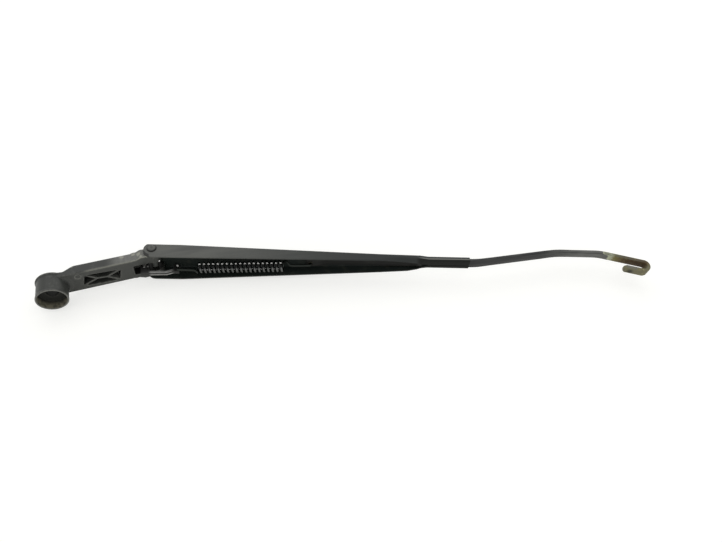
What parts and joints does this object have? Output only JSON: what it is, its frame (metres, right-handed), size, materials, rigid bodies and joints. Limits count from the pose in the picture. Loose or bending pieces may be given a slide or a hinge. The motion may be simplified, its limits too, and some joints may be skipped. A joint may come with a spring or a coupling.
{
  "type": "wiper arm",
  "caption": "Windscreen wiper arm: cast head with a spindle boss, folded steel channel with tension spring and link, flat bar ending in a U hook for the blade.",
  "frame": {"origin": "on the axis of the spindle bore, in the plane of the boss mouth that faces the car body", "axes": "+Z along the spindle bore away from the glass, +X along the arm from the spindle towards the hook"},
  "size_m": [0.5347, 0.033, 0.1047],
  "materials": {
    "cast_head": "satin",
    "painted_sheet": "satin",
    "painted_bar": "satin, bare and rusty towards the hook",
    "pin_steel": "plain",
    "link_steel": "satin",
    "spring_steel": "zinc plated"
  },
  "bodies": {
    "head": {"arm_head": "cast_head", "hook_pin": "pin_steel"},
    "arm": {"arm_channel": "painted_sheet", "arm_rod": "painted_bar", "hinge_pin": "painted_sheet"},
    "link": {"hook_link": "link_steel"},
    "spring": {"tension_spring": "spring_steel"}
  },
  "joints": [
    {"name": "arm_lift", "type": "hinge", "parent": "head", "child": "arm", "pos_m": [0.0816, 0, 0.0283], "axis": [0, -1, 0], "range_deg": [0, 56], "stiffness_Nm_per_rad": 0.5, "springref_deg": -34.38},
    {"name": "link_swing", "type": "hinge", "parent": "head", "child": "link", "pos_m": [0.0734, 0, 0.0238], "axis": [0, -1, 0], "range_deg": [0, 52.7]},
    {"name": "spring_stretch", "type": "slide", "parent": "link", "child": "spring", "axis": [0.9861, 0, -0.1659], "range_m": [0, 0.0019], "deforming": ["tension_spring"]}
  ],
  "couplings": [
    {"joint": "link_swing", "follows": "arm_lift", "ratio": 0.9383},
    {"joint": "spring_stretch", "follows": "arm_lift", "m_per_rad": 0.00187}
  ]
}
